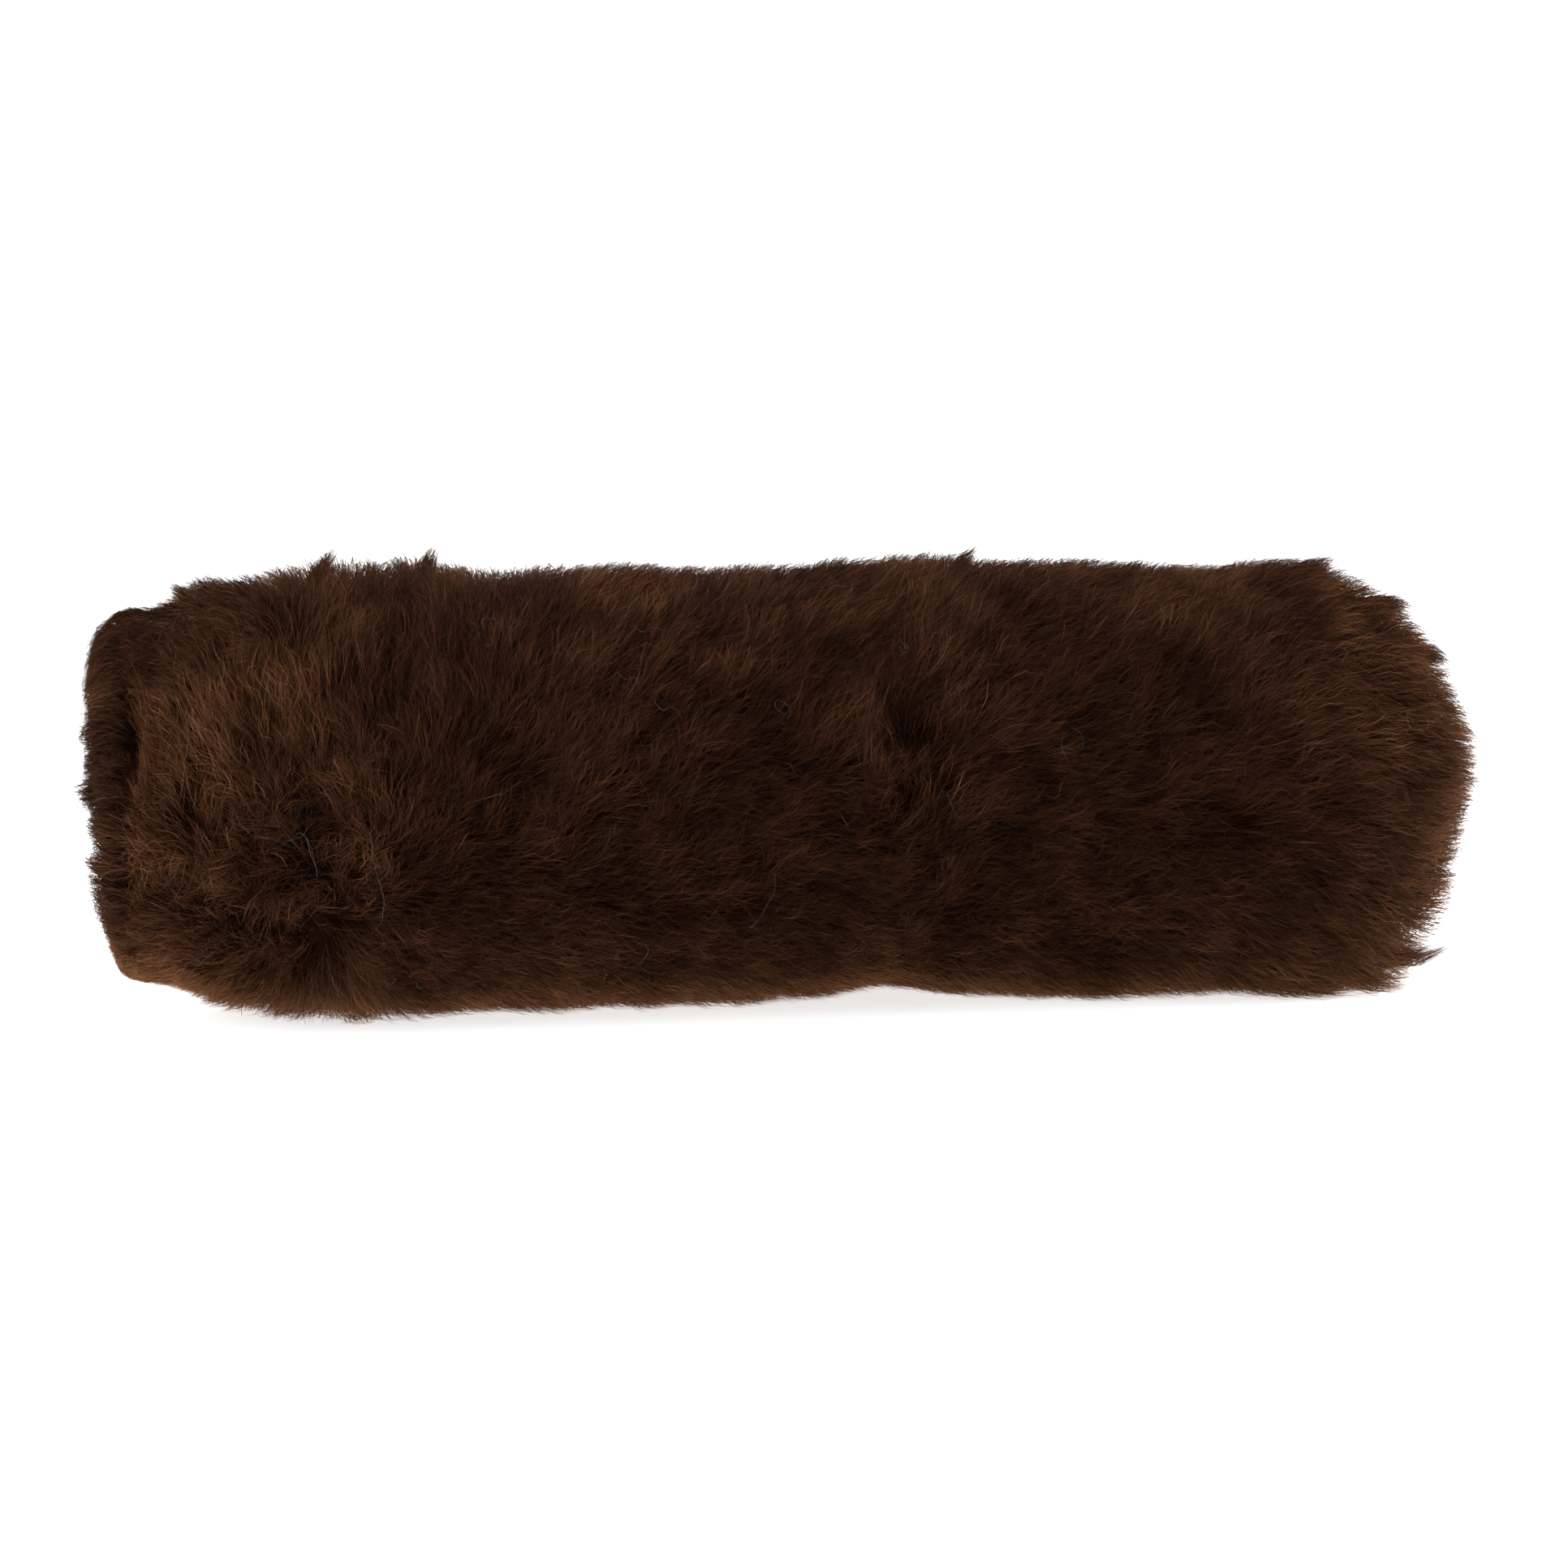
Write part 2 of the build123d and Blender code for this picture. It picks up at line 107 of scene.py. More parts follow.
def add_stage():
    """A pale floor that sweeps up behind, under a sky that is brighter above and behind."""
    world = bpy.data.worlds.new("studio")
    world.use_nodes = True
    tree = world.node_tree
    background = tree.nodes["Background"]
    place = tree.nodes.new("ShaderNodeTexCoord")
    split = tree.nodes.new("ShaderNodeSeparateXYZ")
    ramp = tree.nodes.new("ShaderNodeMapRange")
    ramp.inputs["From Min"].default_value = -1.0
    ramp.inputs["From Max"].default_value = 0.4
    ramp.inputs["To Min"].default_value = 0.18
    ramp.inputs["To Max"].default_value = 1.0
    tree.links.new(place.outputs["Generated"], split.inputs["Vector"])
    tree.links.new(split.outputs["Y"], ramp.inputs["Value"])
    tree.links.new(ramp.outputs["Result"], background.inputs["Strength"])
    background.inputs["Color"].default_value = (1, 1, 1, 1)
    scene.world = world

    half_width, near, far, bend, height = 9.0, -6.0, 3.0, 1.2, 5.0
    outline = [(near, 0.0), (far - bend, 0.0)]
    for k in range(1, 13):
        turn = math.pi / 2 * k / 12
        outline.append((far - bend + bend * math.sin(turn), bend - bend * math.cos(turn)))
    outline.append((far, height))
    verts = [(side * half_width, y, z) for y, z in outline for side in (-1, 1)]
    faces = [(2 * k, 2 * k + 1, 2 * k + 3, 2 * k + 2) for k in range(len(outline) - 1)]
    mesh = bpy.data.meshes.new("floor")
    mesh.from_pydata(verts, [], faces)
    mesh.polygons.foreach_set("use_smooth", [True] * len(faces))
    floor = bpy.data.objects.new("floor", mesh)
    scene.collection.objects.link(floor)
    material = bpy.data.materials.new("floor")
    material.use_nodes = True
    shader = material.node_tree.nodes["Principled BSDF"]
    shader.inputs["Base Color"].default_value = (0.92, 0.92, 0.92, 1)
    shader.inputs["Roughness"].default_value = 0.9
    shader.inputs["Specular IOR Level"].default_value = 0.1
    shader.inputs["Emission Color"].default_value = (1, 1, 1, 1)
    shader.inputs["Emission Strength"].default_value = 0.75
    mesh.materials.append(material)
    add_light("top", (-0.35, 0.15, 1.9), 1.3, 18)
    add_light("key", (-1.3, -0.9, 1.1), 0.9, 9)
    add_light("fill", (1.6, -0.6, 0.9), 0.9, 6)
    add_light("back", (0.3, 1.7, 1.0), 1.5, 17)
    add_light("front rim", (1.8, 0.10, 0.5), 0.8, 22)
    add_light("rear rim", (-1.8, 0.3, 0.6), 0.8, 8)
    scene.view_settings.view_transform = "Standard"


# ======================= tools =======================

def smooth(edge0, edge1, value):
    t = np.clip((value - edge0) / (edge1 - edge0), 0, 1)
    return t * t * (3 - 2 * t)


def unit(vectors):
    return vectors / (np.linalg.norm(vectors, axis=-1)[..., None] + 1e-12)


def scatter(a, b, seed):
    """A fixed number from 0 to 1 for each pair of whole numbers."""
    value = np.sin(a * 127.1 + b * 311.7 + seed * 74.7) * 43758.5453
    return value - np.floor(value)


class Noise:
    """Smooth seeded noise in space, about -2 to 2, from plane waves in all directions."""

    def __init__(self, seed, size, waves=24):
        draw = np.random.default_rng(seed)
        direction = unit(draw.normal(size=(waves, 3)))
        self.wave = direction * (2 * math.pi / (size * draw.uniform(0.7, 1.6, waves)))[:, None]
        self.phase = draw.uniform(0, 2 * math.pi, waves)

    def __call__(self, points):
        total = np.zeros(points.shape[:-1])
        for wave, phase in zip(self.wave, self.phase):
            total += np.sin(points @ wave + phase)
        return total * math.sqrt(2 / len(self.phase))


class Surface:
    """A surface of revolution about the axis, from a profile of (x, radius).

    u is the distance along the profile, v the distance round the sleeve, counted upwards from
    the side at -Y, and h the height off the surface.
    """

    def __init__(self, profile):
        profile = np.array(profile, float)
        self.u = np.concatenate([[0], np.cumsum(np.hypot(*np.diff(profile, axis=0).T))])
        self.length = self.u[-1]
        self.x, self.r = profile.T
        self.slope_x, self.slope_r = unit(np.gradient(profile, self.u, axis=0)).T

    def radius(self, u):
        return np.interp(u, self.u, self.r)

    def at(self, u, v, h):
        """Points in space. Past its ends the surface runs straight on."""
        inside = np.clip(u, 0, self.length)
        along_x = np.interp(inside, self.u, self.slope_x)
        along_r = np.interp(inside, self.u, self.slope_r)
        size = np.hypot(along_x, along_r)
        along_x, along_r = along_x / size, along_r / size
        x = np.interp(inside, self.u, self.x) + along_x * (u - inside) - along_r * h
        r = np.interp(inside, self.u, self.r) + along_r * (u - inside) + along_x * h
        turn = v / BACKING_R
        return np.stack([x, -r * np.cos(turn), AXIS_Z + r * np.sin(turn)], -1)


def add_piece(name, mesh, material, body, slot, *replaced):
    mesh.materials.append(material)
    piece = bpy.data.objects.new(name, mesh)
    scene.collection.objects.link(piece)
    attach(piece, body)
    if replaced:
        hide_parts(*replaced)
    return piece


def grid_mesh(name, points, closed_rows=False, closed_columns=True):
    """A smooth mesh over a grid of points, joined round in either direction."""
    rows, columns = points.shape[:2]
    index = np.arange(rows * columns).reshape(rows, columns)
    if closed_rows:
        index = np.concatenate([index, index[:1]])
    if closed_columns:
        index = np.concatenate([index, index[:, :1]], 1)
    faces = np.stack([index[:-1, :-1], index[:-1, 1:], index[1:, 1:], index[1:, :-1]], -1).reshape(-1, 4)
    mesh = bpy.data.meshes.new(name)
    mesh.from_pydata(points.reshape(-1, 3).tolist(), [], faces.tolist())
    mesh.polygons.foreach_set("use_smooth", [True] * len(faces))
    return mesh


# ======================= the cover's shape and the lie of its pile =======================

HEM_POINTS, EDGE_POINTS = 3, 8      # on the rear face, and round the rear edge


def cover_profile():
    """The outside of the backing, from the hem round the rear edge, along the sleeve and over the dome."""
    edge_round = 3 * MM
    edge_r = ROOT_R - edge_round
    points = [(HEM_X, HEM_R + (edge_r - HEM_R) * t) for t in np.linspace(0, 1, HEM_POINTS + 1)[:-1]]
    for turn in np.linspace(0, math.pi / 2, EDGE_POINTS):
        points.append((EDGE_X - (EDGE_X - HEM_X) * math.cos(turn), edge_r + edge_round * math.sin(turn)))
    points += [(x, ROOT_R) for x in np.linspace(EDGE_X + 4 * MM, SEAM_X, 60)]
    tip = NOSE_X + 3.5 * MM
    shoulder_x, brow_r = SEAM_X + 24 * MM, ROOT_R * 0.70
    for t in np.linspace(0, 1, 50)[1:]:
        a, b, c, d = (1 - t) ** 3, 3 * t * (1 - t) ** 2, 3 * t * t * (1 - t), t**3
        points.append((
            a * SEAM_X + b * shoulder_x + c * tip + d * tip,
            a * ROOT_R + b * ROOT_R + c * brow_r,
        ))
    return points


COVER = Surface(cover_profile())
U_REAR = float(COVER.u[HEM_POINTS + EDGE_POINTS - 1])
U_SEAM = U_REAR + SEAM_X - EDGE_X
BODY_FROM = U_REAR - 3.5 * MM       # the long pile starts part way round the rear edge

# The way the pile is stroked: at x and v (millimetres), the tips point in this direction, in
# degrees: 0 is forwards, 90 is upwards on the -Y side.
STROKES = [
    (-209, 42, 195), (-205, 25, 165), (-204, 18, 140), (-199, 8, 122), (-190, 19, 108),
    (-185, 25, 98), (-177, 18, 105), (-184, 49, 188), (-174, 46, 180), (-159, 13, 112),
    (-158, 33, 98), (-141, 34, 76), (-128, 12, 108), (-127, 43, 84), (-200, -28, 170),
    (-190, -14, 145), (-206, -45, 200), (-186, -12, 118), (-165, -15, 100), (-152, -17, 88),
    (-160, -23, 98), (-175, -23, 118), (-148, -21, 62), (-163, -31, 95), (-174, -37, 168),
    (-186, -52, 190), (-140, -9, 66), (-142, -23, 335), (-141, -49, 300), (-160, -66, 240),
    (-158, -42, 220), (-108, 34, 88), (-100, 9, 78), (-108, -11, 48), (-116, -23, 46),
    (-102, -29, 8), (-108, -43, -6), (-115, -64, -12), (-122, -37, 350), (-69, 32, 56),
    (-69, 7, 48), (-69, -13, 34), (-45, 38, 44), (-41, 20, 44), (-41, -8, 18), (-41, -36, 4),
    (-20, -54, 0), (1, 46, 34), (1, 20, 38), (1, -8, 4), (26, 29, 50), (34, 9, 84), (22, -15, -8),
    (39, -13, 28), (50, -30, 34), (20, -54, 8), (57, 42, 30), (57, 10, 8), (57, -8, 0),
    (93, 34, 20), (114, 47, 12), (128, 14, 5), (142, 32, 12), (164, 20, 12), (185, 36, 18),
    (114, -12, 0), (156, 0, 0), (100, -29, 25), (142, -30, -5), (185, -8, 0), (185, -40, 0),
    (170, -55, 4), (100, 68, 6), (20, 72, 14), (-60, 72, 40), (-120, 74, 70), (-185, 66, 180),
]
# On the far side the pile parts near the rear and otherwise runs forwards.
FAR_SIDE = [(-190, 180), (-60, 20), (20, 5), (100, -4), (170, 0)]
STROKES += [(x, v, angle) for v in (105, 140, 175, 210, 240) for x, angle in FAR_SIDE]
STROKES = np.array(STROKES, float) * (MM, MM, math.pi / 180)
# Places where the pile is pressed in, or stands proud: x, v, radius, rise.
HOLLOWS = [
    (0.0375, 0.016, 0.0055, -0.0100),
    (0.0300, 0.020, 0.0120, 0.0016),
    (-0.152, -0.026, 0.0150, -0.0010),
    (-0.095, -0.036, 0.0140, -0.0014),
    (0.0330, -0.066, 0.0250, -0.0065),
    (-0.142, 0.078, 0.0350, 0.0075),
    (-0.085, 0.080, 0.0350, 0.0035),
    (-0.140, -0.060, 0.0350, 0.0030),
    (0.0550, 0.080, 0.0300, 0.0055),
    (0.1100, -0.066, 0.0220, 0.0045),
    (0.1500, -0.060, 0.0250, 0.0020),
    (0.1800, 0.072, 0.0200, 0.0035),
    (0.1850, -0.060, 0.0300, 0.0085),
    (0.2150, -0.032, 0.0220, -0.0050),
    (0.1790, -0.063, 0.0180, 0.0050),
]
# Patches of painted light and painted shade on the pile, with some of its own paler and darker colour:
# paler where light falls on tufts and rims, darker in the hollows and across the middle of the near side:
# x, v, radius, change.
TONE_AND_PAINTED_LIGHT = [
    (-0.202, 0.016, 0.020, 0.12),
    (-0.186, 0.033, 0.014, 0.10),
    (-0.206, 0.046, 0.016, -0.26),
    (-0.150, 0.045, 0.030, 0.04),
    (-0.154, -0.022, 0.022, -0.10),
    (-0.105, -0.036, 0.020, -0.08),
    (-0.205, -0.050, 0.030, 0.12),
    (0.0250, 0.016, 0.012, 0.08),
    (0.0380, 0.015, 0.0065, -0.38),
    (0.0300, -0.008, 0.080, -0.19),
    (0.1300, -0.005, 0.060, -0.21),
    (-0.060, 0.000, 0.050, -0.10),
    (-0.100, 0.034, 0.032, -0.12),
]
# Places where neighbouring tufts lie every way: x, v, radius, amount.
TANGLES = [
    (-0.150, -0.026, 0.022, 2.2),
    (-0.176, 0.036, 0.012, 1.0),
]
# Tufts that stand out of the outline: where one is rooted (x, v), how far its tip lies from there
# along and round, and the tip's height.
LOCKS = [
    (-0.156, 0.070, 0.012, 0.008, 0.0298),
    (-0.121, 0.074, 0.009, 0.006, 0.0294),
    (-0.180, 0.072, -0.016, 0.004, 0.0190),
    (-0.196, 0.075, -0.0155, 0.003, 0.0125),
    (-0.198, 0.065, -0.0135, 0.001, 0.0120),
    (0.0480, 0.076, 0.014, 0.003, 0.0265),
    (0.1620, 0.076, 0.013, 0.003, 0.0240),
    (0.1800, 0.070, 0.014, 0.002, 0.0235),
    (0.1930, 0.060, 0.013, 0.000, 0.0220),
    (0.1740, -0.055, 0.021, 0.003, 0.0320),
    (0.1690, -0.054, 0.013, 0.002, 0.0330),
    (0.0740, -0.066, 0.012, -0.006, 0.0240),
    (0.0950, -0.066, 0.014, -0.006, 0.0240),
]


def onto_cover(places):
    """Move places on the near side to where they lie, from where the slanted view shows them."""
    places = np.array(places, float)
    x, v = places[:, 0].copy(), places[:, 1].copy()
    facing = np.cos(v / BACKING_R)
    near = smooth(0.062, 0.052, np.abs(v))
    places[:, 0] -= near * 12 * MM * facing
    places[:, 1] += near * (7.5 * MM - 0.026 * x / np.maximum(facing, 0.5))
    return places


STROKES, HOLLOWS, TONE_AND_PAINTED_LIGHT, TANGLES = (onto_cover(table) for table in (STROKES, HOLLOWS, TONE_AND_PAINTED_LIGHT, TANGLES))
SWAY, SWAY_FINE = Noise(3, 0.055), Noise(4, 0.015)
BULGE, LUMP, SHADE = Noise(5, 0.07), Noise(6, 0.02), Noise(7, 0.04)


def near_sum(places, x, v):
    """The sum of soft round bumps."""
    total = np.zeros(np.shape(x))
    for place_x, place_v, radius, amount in places:
        total += amount * np.exp(-((x - place_x) ** 2 + (v - place_v) ** 2) / radius**2)
    return total


def wrapped(v):
    return (v + ROUND / 2) % ROUND - ROUND / 2


def profile_x(u):
    """Where u is along the axis, counted as if the profile ran straight at both ends."""
    return EDGE_X + u - U_REAR


def comb(u, v):
    """The direction the pile lies in, as (along the profile, round the axis), and how firmly."""
    x = profile_x(u)
    flow = np.zeros((*u.shape, 2))
    total = np.zeros(u.shape)
    for stroke_x, stroke_v, angle in STROKES:
        weight = 1 / ((x - stroke_x) ** 2 + wrapped(v - stroke_v) ** 2 + (6 * MM) ** 2) ** 1.6
        flow += weight[..., None] * (math.cos(angle), math.sin(angle))
        total += weight
    flow /= total[..., None]
    flow /= 0.3 + 0.7 * np.linalg.norm(flow, axis=-1)[..., None]
    # on the dome it runs to the middle, where it stands up, and sags
    dome = smooth(U_SEAM + 4 * MM, U_SEAM + 30 * MM, u)[..., None]
    onward = 0.75 - 0.6 * smooth(COVER.length - 32 * MM, COVER.length - 6 * MM, u)
    sag = np.stack([onward, -0.55 * np.cos(v / BACKING_R)], -1)
    return flow * (1 - dome) + sag * dome


def pile_height(points, u, v):
    """How far the tips stand off the backing."""
    x, v = profile_x(u), wrapped(v)
    height = 19.0 * MM + 0.9 * MM * BULGE(points) + 0.5 * MM * LUMP(points) + near_sum(HOLLOWS, x, v)
    low = smooth(-0.010, -0.046, v) * smooth(-0.155, -0.125, v)
    height -= 11.5 * MM * smooth(-0.140, -0.208, x) * low
    height -= 3.5 * MM * smooth(-0.188, -0.205, x) * smooth(0.030, 0.050, v)
    return height * (1 - (0.36 + 0.22 * low) * smooth(-0.186, -0.208, x))


def front_height(points, u, v):
    tip = 3.5 * MM * smooth(U_SEAM + 25 * MM, COVER.length, u)
    return 18.5 * MM + tip + 0.9 * MM * LUMP(points) + near_sum(HOLLOWS, profile_x(u), wrapped(v))


def rear_height(points, u, v):
    v = wrapped(v)
    slack = (8.0 * smooth(-0.008, -0.052, v) + 1.5 * smooth(-0.042, -0.058, v)) * smooth(-0.155, -0.135, v)
    slack += 3.5 * smooth(0.035, 0.055, v)
    return (12.5 - slack) * MM * (1 - 0.75 * smooth(3 * MM, BODY_FROM, u)) + 0.8 * MM * LUMP(points)


# ======================= fur =======================

SEGMENTS = 4                                    # of a hair, from root to tip
TAPER = np.array([0.85, 1.0, 0.9, 0.62, 0.0])   # a hair's width, from root to tip
COARSE = 1.0             # the share of the hairs that is grown
LARGE_TUFT, LARGE_PULL = 3.2, 0.35              # the larger tufts against the small ones
ALONG_HAIR = np.linspace(0, 1, SEGMENTS + 1)[:, None]
FLOOR_GAP, PRESSED = 0.2 * MM, 3.5 * MM         # lowest point, and how deep the floor presses
LOCK_HAIRS, LOCK_SPREAD = 420, 5.5 * MM


def tufts(u, v, cell, seed):
    """The nearest tuft's middle and number for each root. Tufts are jittered cells."""
    columns = round(ROUND / cell)
    cell_v = ROUND / columns
    row, column = np.floor(u / cell), np.floor(v / cell_v)
    best = np.full(len(u), np.inf)
    middle_u, middle_v, number = u.copy(), v.copy(), np.zeros(len(u))
    for row_step in (-1, 0, 1):
        for column_step in (-1, 0, 1):
            i, j = row + row_step, column + column_step
            wrap = j % columns
            at_u = (i + scatter(i, wrap, seed)) * cell
            at_v = (j + scatter(i, wrap, seed + 1)) * cell_v
            far = (at_u - u) ** 2 + (at_v - v) ** 2
            nearer = far < best
            best[nearer] = far[nearer]
            middle_u[nearer], middle_v[nearer] = at_u[nearer], at_v[nearer]
            number[nearer] = scatter(i, wrap, seed + 2)[nearer]
    return middle_u, middle_v, number


def ribbons(name, paths, width, light, draw):
    """A mesh with one ribbon for each path: pairs of points along it and one point at its tip.

    Its own coordinates hold how pale the hair is, across, and the place from root to tip, up.
    """
    rings, count = paths.shape[:2]
    along = unit(np.gradient(paths, axis=0))
    side = draw.normal(size=(count, 3))
    side = unit(side - along * (side * along).sum(-1)[..., None])
    taper = np.interp(np.linspace(0, 1, rings), np.linspace(0, 1, len(TAPER)), TAPER)
    half = side * (width * 0.5)[None, :, None] * taper[:, None, None]
    per = rings * 2 - 1
    verts = np.empty((count, per, 3), np.float32)
    verts[:, 0:-1:2] = (paths - half)[:-1].transpose(1, 0, 2)
    verts[:, 1:-1:2] = (paths + half)[:-1].transpose(1, 0, 2)
    verts[:, -1] = paths[-1]
    verts[..., 2] = np.maximum(verts[..., 2], FLOOR_GAP)
    quads = [(2 * k, 2 * k + 1, 2 * k + 3, 2 * k + 2) for k in range(rings - 2)]
    pattern = np.concatenate([np.array(quads).ravel(), [per - 3, per - 2, per - 1]])
    loops = (np.arange(count)[:, None] * per + pattern).ravel().astype(np.int32)
    sizes = np.tile([4] * len(quads) + [3], count)
    starts = np.concatenate([[0], np.cumsum(sizes)[:-1]]).astype(np.int32)
    mesh = bpy.data.meshes.new(name)
    mesh.vertices.add(count * per)
    mesh.vertices.foreach_set("co", verts.ravel())
    mesh.loops.add(len(loops))
    mesh.loops.foreach_set("vertex_index", loops)
    mesh.polygons.add(len(starts))
    mesh.polygons.foreach_set("loop_start", starts)
    mesh.polygons.foreach_set("use_smooth", np.ones(len(starts), bool))
    uv = np.empty((count, per, 2), np.float32)
    uv[..., 0] = np.clip(light, 0.01, 0.99)[:, None] + np.append(np.tile([-0.003, 0.003], rings - 1), 0)
    uv[..., 1] = 0.01 + 0.98 * np.append(np.repeat(np.arange(rings - 1), 2), rings - 1) / (rings - 1)
    layer = mesh.uv_layers.new(name="OFBake")
    layer.data.foreach_set("uv", uv.reshape(-1, 2)[loops].ravel())
    mesh.update(calc_edges=True)
    return mesh


def grow(name, count, u_range, v_range, seed, look):
    """One piece of fur: hairs rooted in a patch of the cover, each bent over by the comb."""
    draw = np.random.default_rng(seed)
    count = int(count * COARSE)
    u = draw.uniform(*u_range, count * 2)
    v = draw.uniform(*v_range, count * 2)
    widest = COVER.radius(np.linspace(*u_range, 20)).max()
    keep = np.flatnonzero(draw.random(count * 2) < COVER.radius(u) / widest)[:count]
    u, v = u[keep], v[keep]
    count = len(u)
    root = COVER.at(u, v, np.zeros(count))
    small_u, small_v, small = tufts(u, v, look["tuft"], 11)
    large_u, large_v, large = tufts(u, v, look["tuft"] * LARGE_TUFT, 21)
    sway = 0.10 * SWAY(root) + 0.13 * SWAY_FINE(root) + draw.normal(0, look["stray"], count)
    sway += (look["part"] + near_sum(TANGLES, profile_x(u), wrapped(v))) * (small + large - 1)
    length = look["length"] * draw.uniform(0.82, 1.10, count) * (0.92 + 0.16 * large)
    wander_u, wander_v = 5 * MM * SWAY_FINE(root[:, ::-1]), 6 * MM * SWAY_FINE(root[:, [1, 0, 2]])
    path_u, path_v = [u], [v]
    for k in range(SEGMENTS):
        share = (k + 0.5) / SEGMENTS
        flow = comb(path_u[-1] + wander_u, path_v[-1] + wander_v) * look["lean"]
        turn = sway * (0.5 + share)
        c, s = np.cos(turn), np.sin(turn)
        reach = length / SEGMENTS * (0.6 + 0.5 * share)
        narrow = np.maximum(COVER.radius(path_u[-1]) + 12 * MM * look["lean"], 15 * MM) / BACKING_R
        path_u.append(path_u[-1] + (flow[:, 0] * c - flow[:, 1] * s) * reach)
        path_v.append(path_v[-1] + (flow[:, 0] * s + flow[:, 1] * c) * reach / narrow)
    path_u, path_v = np.array(path_u), np.array(path_v)
    share = ALONG_HAIR
    gather, pull = share**1.3, look["gather"]
    path_u += (small_u - u) * gather * pull + (large_u - u) * gather * pull * LARGE_PULL
    path_v += (small_v - v) * gather * pull + (large_v - v) * gather * pull * LARGE_PULL
    if look["height"] is pile_height:       # the pile stops at the rear edge, where it makes a lip
        lip = BODY_FROM + (0.7 * LUMP(root) + 2.0 * (small - 0.5) + 0.3) * MM
        lip -= 2.0 * MM * smooth(-0.010, -0.028, v)
        path_u = np.where(path_u < lip, lip + 0.22 * (path_u - lip), path_u)
    tip = COVER.at(path_u[-1], path_v[-1], np.zeros(count))
    top = look["height"](tip, path_u[-1], path_v[-1])
    top *= 0.66 + 0.34 * draw.random(count) ** 0.5 + look["ragged"] * (small - 0.5) + 0.10 * (large - 0.5)
    height = top * (1 - (1 - share) ** 1.8)
    light = look["light"] + 0.24 * (small - 0.5) + 0.16 * (large - 0.5)
    return cover_hairs(name, path_u, path_v, height, look, light, draw)


def cover_hairs(name, path_u, path_v, height, look, light, draw):
    """The hairs along these paths on the cover, as one piece."""
    count = path_u.shape[1]
    points = COVER.at(path_u, path_v, height)
    points += draw.normal(0, look["frizz"], points.shape) * ALONG_HAIR[..., None]
    pressed = PRESSED * draw.random(count)
    under = points[..., 2] < pressed
    points[..., 2] = np.where(under, pressed + 0.12 * (points[..., 2] - pressed), points[..., 2])
    tip_v = wrapped(path_v[-1])
    # the patches of painted light and painted shade, over a random mottle
    light = light + 0.055 * SHADE(points[-1]) + near_sum(TONE_AND_PAINTED_LIGHT, profile_x(path_u[-1]), tip_v)
    # painted light along the underside, for the light that bounces up off the floor
    light += 0.62 * smooth(-0.040, -0.062, tip_v) * smooth(-0.110, -0.085, tip_v)
    light += draw.normal(0, 0.17, count)
    width = look["width"] * draw.uniform(0.75, 1.25, count)
    return add_piece(name, ribbons(name, points, width, light, draw), FUR, "cover", "fur")


def grow_locks(name, look):
    """The pointed tufts that break the outline, each a bunch of hairs that meet at its tip."""
    draw = np.random.default_rng(300)
    share = ALONG_HAIR
    paths = []
    for x, v, along, around, height in LOCKS:
        count = int(LOCK_HAIRS * COARSE)
        spread = LOCK_SPREAD * np.sqrt(draw.random(count))
        turn = draw.uniform(0, 2 * math.pi, count)
        u = U_REAR + x - EDGE_X
        u0 = u + spread * np.cos(turn)
        v0 = v + spread * np.sin(turn)
        stop = draw.uniform(0.62, 1.0, count)
        meet = 0.86 * share**1.4
        end_u = u + along + draw.normal(0, 0.4 * MM, count)
        end_v = v + around + draw.normal(0, 0.4 * MM, count)
        path_u = u0 + along * share * 0.2 + (end_u - u0) * meet * stop
        path_v = v0 + around * share * 0.2 + (end_v - v0) * meet * stop
        paths.append((path_u, path_v, height * stop * (1 - (1 - share) ** 1.5)))
    path_u, path_v, height = (np.concatenate(part, 1) for part in zip(*paths))
    # the locks are painted a little paler: painted light on the tufts at the outline
    light = look["light"] + 0.06 + draw.normal(0, 0.05, path_u.shape[1])
    return cover_hairs(name, path_u, path_v, height, look, light, draw)


def add_lint(material):
    """Stray pale fibres caught on the pile: a few long thin curls lying on its surface."""
    draw = np.random.default_rng(400)
    count, rings = 60, 22
    u = draw.uniform(BODY_FROM + 8 * MM, COVER.length - 25 * MM, count)
    v = draw.uniform(-ROUND / 2, ROUND / 2, count)
    heading = draw.uniform(0, 2 * math.pi, count)
    bend = draw.normal(0, 0.25, count)
    step = draw.uniform(0.5, 1.3, count) * MM
    path_u, path_v = [u], [v]
    for _ in range(rings):
        bend = 0.8 * bend + draw.normal(0, 0.18, count)
        heading = heading + bend
        path_u.append(path_u[-1] + step * np.cos(heading))
        path_v.append(path_v[-1] + step * np.sin(heading))
    path_u, path_v = np.array(path_u), np.array(path_v)
    base = COVER.at(path_u, path_v, np.zeros_like(path_u))
    over = np.where(path_u < U_SEAM, pile_height(base, path_u, path_v), front_height(base, path_u, path_v))
    points = COVER.at(path_u, path_v, over * 0.93 + 0.4 * MM * LUMP(base * 4))
    points = points[:, points[..., 2].min(0) > 4 * MM]
    light = np.full(points.shape[1], 0.5)
    width = np.full(points.shape[1], 0.07 * MM)
    add_piece("lint", ribbons("lint", points, width, light, draw), material, "cover", "fur")


# ======================= materials =======================

def new_material(name, roughness, specular=0.5, metallic=0.0):
    material = bpy.data.materials.new(name)
    material.use_nodes = True
    shader = material.node_tree.nodes["Principled BSDF"]
    shader.inputs["Roughness"].default_value = roughness
    shader.inputs["Specular IOR Level"].default_value = specular
    shader.inputs["Metallic"].default_value = metallic
    return material, material.node_tree, shader


def fill_ramp(node, stops):
    ramp = node.color_ramp
    while len(ramp.elements) < len(stops):
        ramp.elements.new(0.5)
    for element, (place, colour) in zip(ramp.elements, stops):
        element.position = place
        element.color = (*colour, 1)


